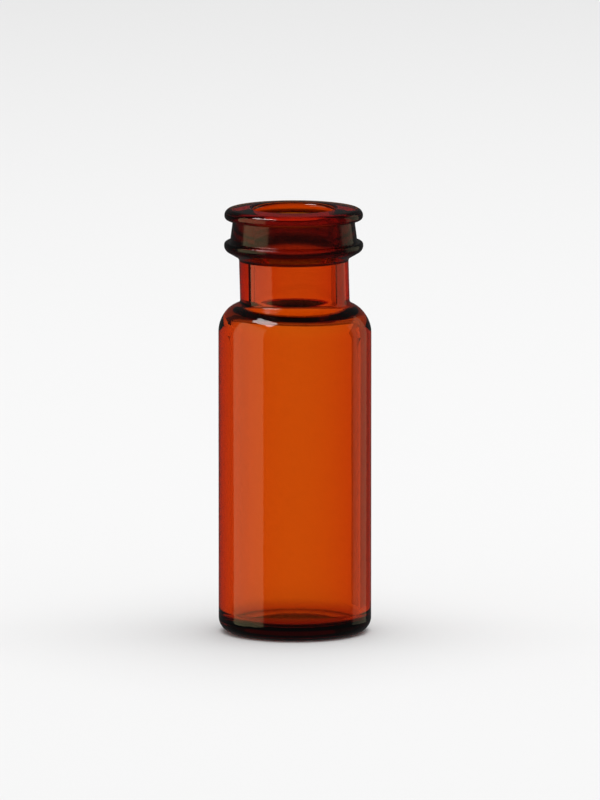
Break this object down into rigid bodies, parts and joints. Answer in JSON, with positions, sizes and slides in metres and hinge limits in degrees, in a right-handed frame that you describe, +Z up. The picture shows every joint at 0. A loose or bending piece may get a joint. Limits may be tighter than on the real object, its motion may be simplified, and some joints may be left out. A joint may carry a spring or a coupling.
{
  "type": "glass sample vial",
  "caption": "Small amber glass sample vial with a flat base, sloping shoulder, straight neck and a collar of a flange over a bead that holds a crimped or pressed-on cap.",
  "frame": {"origin": "centre of the circle that the base rests on", "axes": "+Z up along the vial's axis, from the base to the mouth; the vial is round, so X and Y are alike"},
  "size_m": [0.0116, 0.0116, 0.0325],
  "materials": {
    "amber_glass": "clear amber glass, fire polished"
  },
  "bodies": {
    "root": {"vial": "amber_glass"}
  },
  "joints": []
}
